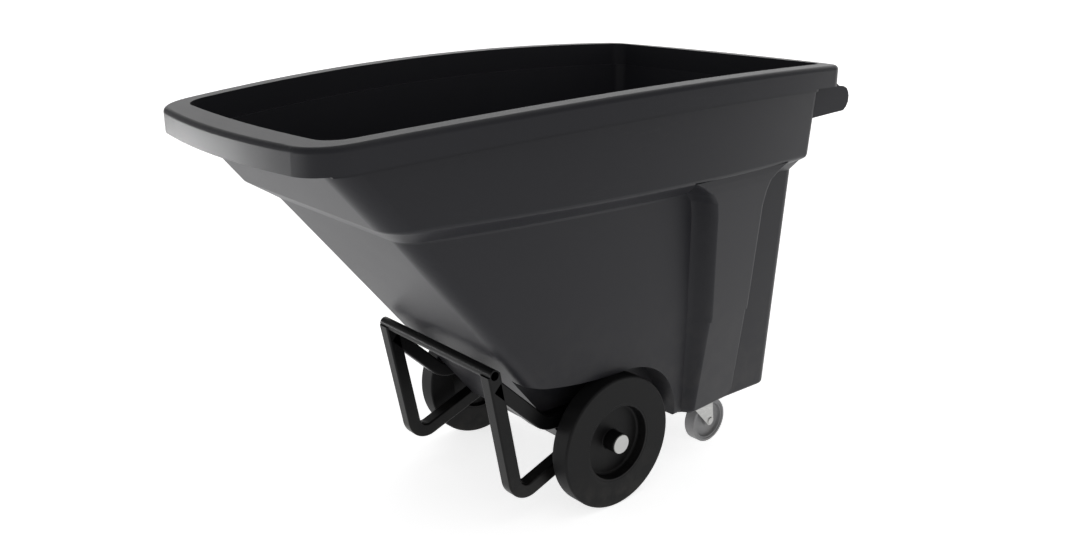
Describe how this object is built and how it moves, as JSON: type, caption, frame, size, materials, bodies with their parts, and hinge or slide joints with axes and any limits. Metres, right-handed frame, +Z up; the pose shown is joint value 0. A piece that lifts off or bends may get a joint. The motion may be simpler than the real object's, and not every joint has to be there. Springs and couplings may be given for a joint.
{
  "type": "garden cart",
  "caption": "Wheeled tipping garden cart with a moulded sloping tub, push handle, rest legs, main wheels and swivel rear casters.",
  "frame": {"origin": "centre of the bounding box in X and Y, on the ground plane under the wheels", "axes": "+X to the cart's left, +Y towards the push handle, +Z up"},
  "size_m": [0.8199, 1.4277, 0.944],
  "materials": {
    "tub_plastic": "moulded charcoal polyethylene, lightly grained",
    "tyre_rubber": "solid rubber, smooth",
    "wheel_plastic": "moulded black plastic",
    "bush_plastic": "natural nylon",
    "caster_rubber": "grey non-marking rubber",
    "caster_plastic": "moulded grey plastic",
    "frame_paint": "black powder coat",
    "plated_steel": "zinc plated",
    "fastener_steel": "bright zinc plated",
    "zinc_steel": "pressed zinc plated steel"
  },
  "bodies": {
    "cart": {"axle": "plated_steel", "caster_bolt_washers": "fastener_steel", "caster_bolts": "fastener_steel", "caster_nuts": "fastener_steel", "frame_bolts": "fastener_steel", "frame_crossbar": "frame_paint", "frame_nuts": "fastener_steel", "frame_washers": "fastener_steel", "left_axle_cap": "plated_steel", "left_axle_plate": "frame_paint", "left_axle_spacer": "plated_steel", "left_caster_kingpin": "fastener_steel", "left_caster_plate": "zinc_steel", "left_caster_race": "zinc_steel", "left_leg": "frame_paint", "left_side_rail": "frame_paint", "push_handle": "tub_plastic", "right_axle_cap": "plated_steel", "right_axle_plate": "frame_paint", "right_axle_spacer": "plated_steel", "right_caster_kingpin": "fastener_steel", "right_caster_plate": "zinc_steel", "right_caster_race": "zinc_steel", "right_leg": "frame_paint", "right_side_rail": "frame_paint", "tub": "tub_plastic"},
    "left_wheel": {"left_wheel_tyre": "tyre_rubber", "left_wheel_core": "wheel_plastic", "left_wheel_bushes": "bush_plastic"},
    "left_caster_swivel": {"left_caster_fork": "zinc_steel", "left_caster_balls": "fastener_steel", "left_caster_sleeve": "bush_plastic", "left_caster_axle": "plated_steel", "left_caster_axle_nut": "fastener_steel"},
    "left_caster_wheel": {"left_caster_core": "caster_plastic", "left_caster_tread": "caster_rubber"},
    "right_wheel": {"right_wheel_tyre": "tyre_rubber", "right_wheel_core": "wheel_plastic", "right_wheel_bushes": "bush_plastic"},
    "right_caster_swivel": {"right_caster_fork": "zinc_steel", "right_caster_balls": "fastener_steel", "right_caster_sleeve": "bush_plastic", "right_caster_axle": "plated_steel", "right_caster_axle_nut": "fastener_steel"},
    "right_caster_wheel": {"right_caster_core": "caster_plastic", "right_caster_tread": "caster_rubber"}
  },
  "joints": [
    {"name": "left_wheel_spin", "type": "hinge", "parent": "cart", "child": "left_wheel", "pos_m": [0.2505, 0.028, 0.1524], "axis": [1, 0, 0], "continuous": true},
    {"name": "left_caster_turn", "type": "hinge", "parent": "cart", "child": "left_caster_swivel", "pos_m": [0.176, 0.3896, 0.123], "axis": [0, 0, 1], "continuous": true},
    {"name": "left_caster_roll", "type": "hinge", "parent": "left_caster_swivel", "child": "left_caster_wheel", "pos_m": [0.176, 0.4246, 0.057], "axis": [1, 0, 0], "continuous": true},
    {"name": "right_wheel_spin", "type": "hinge", "parent": "cart", "child": "right_wheel", "pos_m": [-0.2505, 0.028, 0.1524], "axis": [1, 0, 0], "continuous": true},
    {"name": "right_caster_turn", "type": "hinge", "parent": "cart", "child": "right_caster_swivel", "pos_m": [-0.176, 0.3896, 0.123], "axis": [0, 0, 1], "continuous": true},
    {"name": "right_caster_roll", "type": "hinge", "parent": "right_caster_swivel", "child": "right_caster_wheel", "pos_m": [-0.176, 0.4246, 0.057], "axis": [1, 0, 0], "continuous": true}
  ]
}
